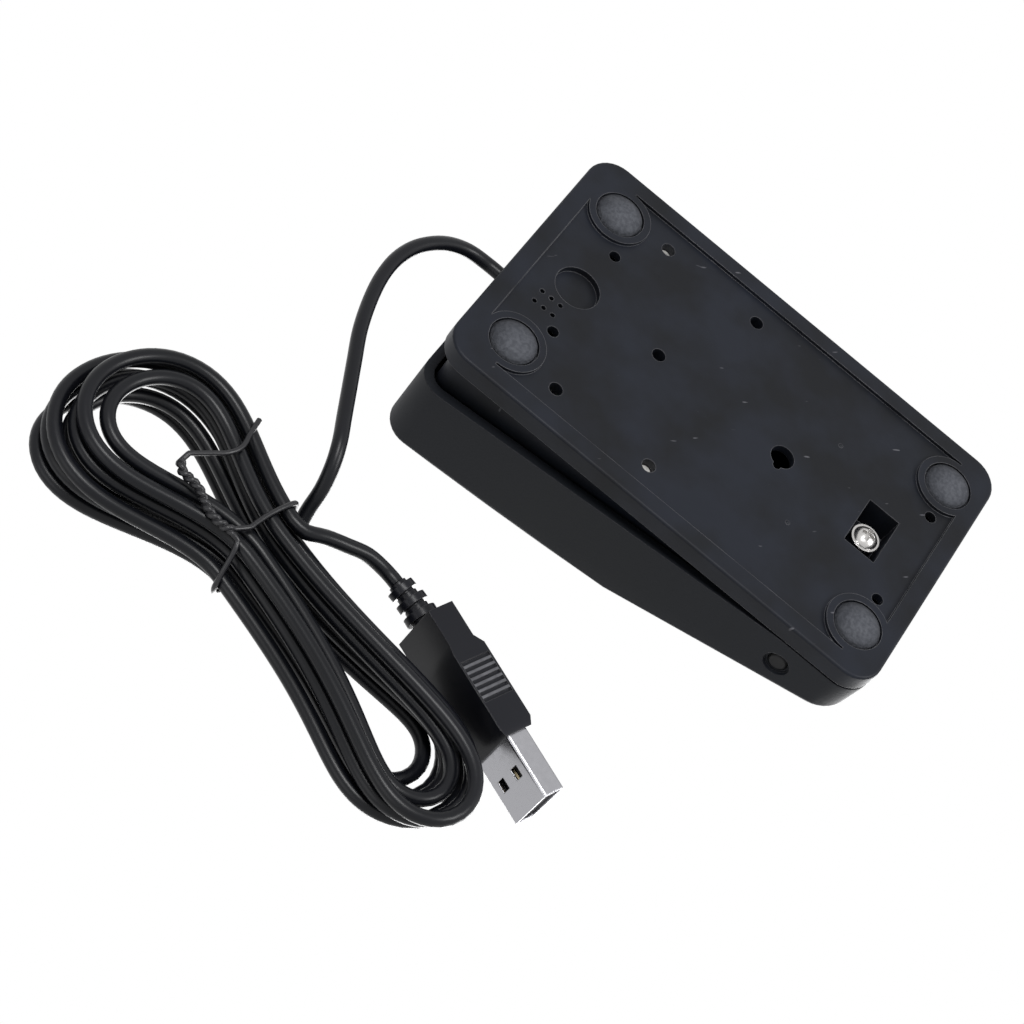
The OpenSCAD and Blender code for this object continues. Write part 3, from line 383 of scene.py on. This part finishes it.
def mix_colour(tree, share, under, over):
    """A share of one colour over another, which is a plain colour or made by other nodes."""
    made = add(tree, "ShaderNodeMix", data_type="RGBA")
    if isinstance(under, tuple):
        made.inputs["A"].default_value = (*under, 1.0)
    else:
        tree.links.new(under, made.inputs["A"])
    made.inputs["B"].default_value = (*over, 1.0)
    tree.links.new(share, made.inputs["Factor"])
    return made.outputs["Result"]


# Relief: soft edges, a domed face and a fine grain

EDGE_SAMPLES = 4
DOME_STRENGTH = 1.0
GRAIN_STRENGTH = 0.5


def soft_normal(tree, radius, samples):
    """The direction of a shape's faces, with its edges rounded."""
    made = add(tree, "ShaderNodeBevel", samples=samples)
    made.inputs["Radius"].default_value = radius
    return made.outputs["Normal"]


def bump(tree, height, strength, distance, normal):
    """A direction that follows a height over another direction."""
    made = add(tree, "ShaderNodeBump")
    made.inputs["Strength"].default_value = strength
    made.inputs["Distance"].default_value = distance
    tree.links.new(height, made.inputs["Height"])
    tree.links.new(normal, made.inputs["Normal"])
    return made.outputs["Normal"]


def dome(tree):
    """A height that falls from the middle of a round piece to its rim."""
    centred = add(tree, "ShaderNodeVectorMath", operation="MULTIPLY_ADD")
    centred.inputs[1].default_value = (2.0, 2.0, 0.0)
    centred.inputs[2].default_value = (-1.0, -1.0, 0.0)
    tree.links.new(own_place(tree, "Generated"), centred.inputs[0])
    out = centred.outputs["Vector"]
    return span(tree, dot(tree, out, out), 1.0, 0.0, 0.0, 1.0)


def relief(tree, shader, grain, grain_h, edge, rise=0.0):
    """Softens the edges of a shape, domes its face where it has a rise, and raises a fine grain."""
    normal = soft_normal(tree, edge * MM, EDGE_SAMPLES)
    if rise:
        normal = bump(tree, dome(tree), DOME_STRENGTH, rise * MM, normal)
    normal = bump(tree, grain, GRAIN_STRENGTH, grain_h * MM, normal)
    tree.links.new(normal, shader.inputs["Normal"])


# Wear and painted highlights: edges paled by wear and a painted highlight, scratches, and grip bar tops
# paled by a painted highlight and rubbing

PALE_EDGE_WIDTH = 0.25 * MM
PALE_EDGE_SAMPLES = 6
PALE_EDGE_TURN = (0.90, 0.998)
PALE_EDGE_SCALE = 140.0
PALE_EDGE_LEAST = 0.2
SCRATCH_TURN = 0.8
SCRATCH_SHAPE = (1.0, 0.25, 1.0)
SCRATCH_SCALE = 240.0
SCRATCH_ROUGH = 0.5
SCRATCH_SHARE = 0.6
SCRATCH_LIMITS = (0.77, 0.82)
BARS_MIDDLE = Vector((0, 14.8, 0)) * MM
BARS_HALF = Vector((3.1, 3.3, 6.8)) * MM
BARS_SOFT = 0.05 * MM
BARS_SCALE = 400.0
BARS_LEAST = 0.5


def wear_and_highlight_edges(tree, colour, light):
    """A colour that pales unevenly on the edges of a shape: partly wear, partly a painted highlight
    along the edges.
    """
    flat = add(tree, "ShaderNodeNewGeometry").outputs["Normal"]
    turn = dot(tree, soft_normal(tree, PALE_EDGE_WIDTH, PALE_EDGE_SAMPLES), flat)
    edge = span(tree, turn, 1.0, 0.0, *PALE_EDGE_TURN)
    patches = span(tree, noise(tree, PALE_EDGE_SCALE, detail=3.0), PALE_EDGE_LEAST, 1.0)
    return mix_colour(tree, combine(tree, "MULTIPLY", edge, patches), colour, light)


def rub_marks(tree, colour, light):
    """A few short pale scratches on a colour."""
    turned = add(tree, "ShaderNodeMapping", vector_type="TEXTURE")
    turned.inputs["Rotation"].default_value = (0.0, 0.0, SCRATCH_TURN)
    turned.inputs["Scale"].default_value = SCRATCH_SHAPE
    tree.links.new(own_place(tree), turned.inputs["Vector"])
    flecks = noise(tree, SCRATCH_SCALE, 1.0, SCRATCH_ROUGH, turned.outputs["Vector"])
    return mix_colour(tree, span(tree, flecks, 0.0, SCRATCH_SHARE, *SCRATCH_LIMITS), colour, light)


def bar_highlight_and_rub(tree, colour, light):
    """Pales the tops of the plug's grip bars, on both of its narrow sides: a painted highlight together
    with rubbing wear.
    """
    own = add(tree, "ShaderNodeMapping", vector_type="TEXTURE")
    own.inputs["Location"].default_value = PLUG_PLACE * MM
    own.inputs["Rotation"].default_value = (0.0, 0.0, PLUG_TURN)
    from_middle = add(tree, "ShaderNodeVectorMath", operation="SUBTRACT")
    from_middle.inputs[1].default_value = BARS_MIDDLE
    size = add(tree, "ShaderNodeVectorMath", operation="ABSOLUTE")
    axes = add(tree, "ShaderNodeSeparateXYZ")
    tree.links.new(own_place(tree), own.inputs["Vector"])
    tree.links.new(own.outputs["Vector"], from_middle.inputs[0])
    tree.links.new(from_middle.outputs["Vector"], size.inputs[0])
    tree.links.new(size.outputs["Vector"], axes.inputs["Vector"])
    share = span(tree, noise(tree, BARS_SCALE, detail=2.0), BARS_LEAST, 1.0)
    for axis, half, near in zip("XYZ", BARS_HALF, (1.0, 1.0, 0.0)):
        part = span(tree, axes.outputs[axis], near, 1.0 - near, half - BARS_SOFT, half + BARS_SOFT)
        share = combine(tree, "MULTIPLY", share, part)
    return mix_colour(tree, share, colour, light)


# Materials: grain heights, edges and rises in millimetres, scales of noise to the metre

PATCH_LIMITS = (0.38, 0.62)
POLISH_H = 0.005


def plastic(
    name, dark, light, rough, grain, grain_h, specular,
    mottle=18.0, edge=0.3, rise=0.0, edge_wear_and_highlight=None, marks=None, bars=None,
):
    """Moulded plastic or rubber: two close shades in broad patches, soft edges and a fine grain."""
    material, tree, shader = new_material(name)
    shader.inputs["Specular IOR Level"].default_value = specular
    patches = noise(tree, mottle, detail=3.0)
    colour = mix_colour(tree, span(tree, patches, 0, 1, *PATCH_LIMITS), dark, light)
    # Pale edges: partly wear, partly a painted highlight
    if edge_wear_and_highlight:
        colour = wear_and_highlight_edges(tree, colour, edge_wear_and_highlight)
    if marks:
        colour = rub_marks(tree, colour, marks)
    # Pale grip bar tops: a painted highlight together with rubbing wear
    if bars:
        colour = bar_highlight_and_rub(tree, colour, bars)
    tree.links.new(colour, shader.inputs["Base Color"])
    tree.links.new(span(tree, patches, *rough), shader.inputs["Roughness"])
    relief(tree, shader, noise(tree, grain, detail=2.0), grain_h, edge, rise)
    return material


def metal(name, colour, rough, grain, edge=0.2):
    """Plated or plain metal with a finely changing polish."""
    material, tree, shader = new_material(name)
    shader.inputs["Metallic"].default_value = 1.0
    shader.inputs["Base Color"].default_value = (*colour, 1.0)
    fine = noise(tree, grain, detail=3.0)
    tree.links.new(span(tree, fine, *rough), shader.inputs["Roughness"])
    relief(tree, shader, fine, POLISH_H, edge)
    return material


PLASTICS = {
    "base_plastic": dict(
        dark=(0.0045, 0.0052, 0.0072), light=(0.0108, 0.013, 0.0198), rough=(0.56, 0.40),
        grain=1100, grain_h=0.04, specular=0.18, mottle=60, edge=0.2,
        # Pale edges: partly wear, partly a painted highlight; the marks are scratches
        edge_wear_and_highlight=(0.14, 0.14, 0.15), marks=(0.18, 0.18, 0.20),
    ),
    "pedal_plastic": dict(
        dark=(0.005, 0.0065, 0.009), light=(0.008, 0.0095, 0.013), rough=(0.52, 0.58),
        # The pale edges are partly wear, partly a painted highlight
        grain=2600, grain_h=0.04, specular=0.18, edge_wear_and_highlight=(0.04, 0.04, 0.045),
    ),
    "foot_rubber": dict(
        dark=(0.062, 0.066, 0.078), light=(0.090, 0.095, 0.110), rough=(0.8, 0.62),
        grain=2600, grain_h=0.2, specular=0.25, mottle=1300, edge=1.5, rise=2.0,
    ),
    "axle_steel": dict(
        dark=(0.006, 0.006, 0.007), light=(0.010, 0.010, 0.011), rough=(0.4, 0.5),
        grain=800, grain_h=0.02, specular=0.2,
    ),
    "board": dict(
        dark=(0.015, 0.10, 0.045), light=(0.02, 0.13, 0.06), rough=(0.3, 0.4),
        grain=500, grain_h=0.01, specular=0.5,
    ),
    "chip_black": dict(
        dark=(0.014, 0.014, 0.015), light=(0.02, 0.02, 0.021), rough=(0.6, 0.7),
        grain=2000, grain_h=0.01, specular=0.4,
    ),
    "cap_sleeve": dict(
        dark=(0.016, 0.02, 0.035), light=(0.02, 0.025, 0.04), rough=(0.25, 0.35),
        grain=400, grain_h=0.01, specular=0.5,
    ),
    "header_plastic": dict(
        dark=(0.70, 0.67, 0.58), light=(0.76, 0.73, 0.64), rough=(0.5, 0.6),
        grain=700, grain_h=0.01, specular=0.4,
    ),
    "switch_plastic": dict(
        dark=(0.016, 0.016, 0.018), light=(0.021, 0.021, 0.023), rough=(0.45, 0.55),
        grain=900, grain_h=0.01, specular=0.4,
    ),
    "stem_plastic": dict(
        dark=(0.04, 0.12, 0.36), light=(0.05, 0.14, 0.40), rough=(0.4, 0.5),
        grain=900, grain_h=0.01, specular=0.4,
    ),
    "cord_jacket": dict(
        dark=(0.003, 0.0035, 0.005), light=(0.005, 0.0055, 0.008), rough=(0.30, 0.36),
        grain=600, grain_h=0.02, specular=0.22,
    ),
    "tie_plastic": dict(
        dark=(0.008, 0.008, 0.010), light=(0.012, 0.012, 0.015), rough=(0.3, 0.4),
        grain=800, grain_h=0.02, specular=0.4,
    ),
    "plug_plastic": dict(
        dark=(0.004, 0.0045, 0.007), light=(0.007, 0.0075, 0.011), rough=(0.26, 0.36),
        grain=1800, grain_h=0.02, specular=0.2,
        # Pale edges are partly wear, partly a painted highlight; the pale bar tops are a painted
        # highlight with rubbing wear
        edge_wear_and_highlight=(0.06, 0.06, 0.065), bars=(0.15, 0.152, 0.165),
    ),
    "tongue_plastic": dict(
        dark=(0.02, 0.02, 0.023), light=(0.03, 0.03, 0.034), rough=(0.5, 0.6),
        grain=900, grain_h=0.01, specular=0.4,
    ),
}
METALS = {
    "screw_nickel": dict(colour=(0.52, 0.51, 0.50), rough=(0.20, 0.32), grain=700),
    "screw_tips": dict(colour=(0.78, 0.77, 0.75), rough=(0.5, 0.7), grain=900),
    "can_metal": dict(colour=(0.66, 0.66, 0.67), rough=(0.3, 0.42), grain=500),
    "spring_steel": dict(colour=(0.62, 0.62, 0.63), rough=(0.22, 0.34), grain=900),
    "contact_gold": dict(colour=(0.62, 0.52, 0.33), rough=(0.25, 0.35), grain=900),
    "shell_nickel": dict(colour=(0.36, 0.36, 0.38), rough=(0.20, 0.32), grain=900, edge=0.4),
}
OWN_LOOK = {"board_screws": "screw_tips"}

materials = {name: plastic(name, **look) for name, look in PLASTICS.items()}
materials.update({name: metal(name, **look) for name, look in METALS.items()})

for name, piece in nodes.items():
    piece.data.materials.clear()
    piece.data.materials.append(materials[OWN_LOOK.get(name, slot_of[name])])
for piece, slot in ((cord, "cord_jacket"), (tie, "tie_plastic")):
    piece.data.materials.append(materials[slot])


# Rounded faces shade smoothly, and edges stay sharp

SMOOTH_NODES = (
    "base_tray", "pedal_cover", "hinge_axle", "axle_lock_screw", "board_screws",
    "foot_rear_left", "foot_rear_right", "foot_front_left", "foot_front_right",
    "plug_relief", "plug_overmould", "plug_shell",
)
SHARP_ANGLE = math.radians(34)
SAME_PLACE = 0.005 * MM


def smooth_group():
    """Joins the points that faces share, and keeps the edges sharp that turn far enough."""
    tree = bpy.data.node_groups.new("smooth", "GeometryNodeTree")
    tree.interface.new_socket("Geometry", in_out="INPUT", socket_type="NodeSocketGeometry")
    tree.interface.new_socket("Geometry", in_out="OUTPUT", socket_type="NodeSocketGeometry")
    merge = add(tree, "GeometryNodeMergeByDistance")
    merge.inputs["Distance"].default_value = SAME_PLACE
    angle = add(tree, "GeometryNodeInputMeshEdgeAngle")
    sharp = add(tree, "FunctionNodeCompare", operation="GREATER_THAN")
    sharp.inputs["B"].default_value = SHARP_ANGLE
    faces = add(tree, "GeometryNodeSetShadeSmooth", domain="FACE")
    edges = add(tree, "GeometryNodeSetShadeSmooth", domain="EDGE")
    edges.inputs["Shade Smooth"].default_value = False
    start, end = add(tree, "NodeGroupInput"), add(tree, "NodeGroupOutput")
    tree.links.new(start.outputs["Geometry"], merge.inputs["Geometry"])
    tree.links.new(merge.outputs["Geometry"], faces.inputs["Geometry"])
    tree.links.new(faces.outputs["Geometry"], edges.inputs["Geometry"])
    tree.links.new(angle.outputs["Unsigned Angle"], sharp.inputs["A"])
    tree.links.new(sharp.outputs["Result"], edges.inputs["Selection"])
    tree.links.new(edges.outputs["Geometry"], end.inputs["Geometry"])
    return tree


smooth = smooth_group()
for name in SMOOTH_NODES:
    nodes[name].modifiers.new("smooth", "NODES").node_group = smooth
    weighted = nodes[name].modifiers.new("weighted", "WEIGHTED_NORMAL")
    weighted.keep_sharp = True


# Springs: each a copy of its node's shape, as a piece of its own on the base


def copy_of(node, name):
    """A piece of its own with a node's shape."""
    piece = nodes[node].copy()
    piece.data = nodes[node].data.copy()
    piece.name = name
    piece.parent = None
    piece.matrix_world = nodes[node].matrix_world.copy()
    bpy.context.scene.collection.objects.link(piece)
    return piece


def spring(node, name):
    """A spring that takes a node's place, as a piece of its own on the base."""
    piece = copy_of(node, name)
    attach(piece, "base")
    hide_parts(node)
    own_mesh(piece)


spring("return_spring", "lift_spring")
spring("switch_spring", "key_spring")


# Ground, background and light, in metres and watts

FLOOR_HALF = 4.0
FLOOR_Z = -0.2 * MM
FLOOR_COLOUR = (0.80, 0.80, 0.80)
FLOOR_ROUGH = 0.9
FLOOR_SPECULAR = 0.1
FADE_FROM, FADE_TO = 0.25, 1.3
AMBIENT = 0.15
OBJECT_MIDDLE = Vector((0.04, 0.02, 0.015))
LAMPS = {
    "key": dict(place=Vector((0.22, 0.12, -1.06)), size=0.3, watts=7),
    "fill": dict(place=Vector((-0.15, -0.95, -0.95)), size=0.4, watts=8.5),
    "overhead": dict(place=Vector((-0.35, -0.45, 1.1)), size=0.9, watts=12),
    "side": dict(place=Vector((1.1, 0.5, -0.3)), size=0.7, watts=2),
}


def mix_shader(tree, share, a, b):
    """One shader that goes over to another."""
    made = add(tree, "ShaderNodeMixShader")
    tree.links.new(share, made.inputs["Fac"])
    tree.links.new(a, made.inputs[1])
    tree.links.new(b, made.inputs[2])
    return made.outputs["Shader"]


def floor_material():
    """Pale near the object and white far out, and clear from below."""
    material, tree, shader = new_material("floor")
    shader.inputs["Base Color"].default_value = (*FLOOR_COLOUR, 1.0)
    shader.inputs["Roughness"].default_value = FLOOR_ROUGH
    shader.inputs["Specular IOR Level"].default_value = FLOOR_SPECULAR
    away = add(tree, "ShaderNodeVectorMath", operation="LENGTH")
    tree.links.new(own_place(tree), away.inputs[0])
    fade = span(tree, away.outputs["Value"], 0.0, 1.0, FADE_FROM, FADE_TO)
    white = add(tree, "ShaderNodeEmission").outputs["Emission"]
    above = mix_shader(tree, fade, shader.outputs["BSDF"], white)
    below = add(tree, "ShaderNodeNewGeometry").outputs["Backfacing"]
    clear = add(tree, "ShaderNodeBsdfTransparent").outputs["BSDF"]
    surface = tree.nodes["Material Output"].inputs["Surface"]
    tree.links.new(mix_shader(tree, below, above, clear), surface)
    return material


def make_floor():
    """A ground that shows from above only and neither shades nor lights the object."""
    mesh = bpy.data.meshes.new("floor")
    corners = [(-1, -1), (1, -1), (1, 1), (-1, 1)]
    mesh.from_pydata([(x * FLOOR_HALF, y * FLOOR_HALF, FLOOR_Z) for x, y in corners], [], [(0, 1, 2, 3)])
    mesh.materials.append(floor_material())
    floor = new_object("floor", mesh)
    floor.visible_diffuse = False
    floor.visible_glossy = False
    floor.visible_transmission = False
    floor.visible_shadow = False


def make_world():
    """White where it is seen or mirrored, and a quieter light on the object."""
    world = bpy.data.worlds.new("world")
    world.use_nodes = True
    bpy.context.scene.world = world
    tree = world.node_tree
    background = tree.nodes["Background"]
    background.inputs["Color"].default_value = (1, 1, 1, 1)
    path = add(tree, "ShaderNodeLightPath").outputs
    seen = combine(tree, "MAXIMUM", path["Is Camera Ray"], path["Is Transmission Ray"])
    shown = combine(tree, "MAXIMUM", seen, path["Is Glossy Ray"])
    strength = span(tree, shown, AMBIENT, 1.0, 0.0, 1.0)
    tree.links.new(strength, background.inputs["Strength"])


def make_lamp(name, place, size, watts):
    """A square lamp that points at the object."""
    data = bpy.data.lights.new(name, "AREA")
    data.shape = "SQUARE"
    data.size = size
    data.energy = watts
    lamp = new_object(name, data)
    lamp.location = place
    lamp.rotation_euler = (OBJECT_MIDDLE - place).to_track_quat("-Z", "Y").to_euler()


make_floor()
make_world()
for name, lamp in LAMPS.items():
    make_lamp(name, **lamp)

bpy.context.scene.view_settings.view_transform = "Standard"
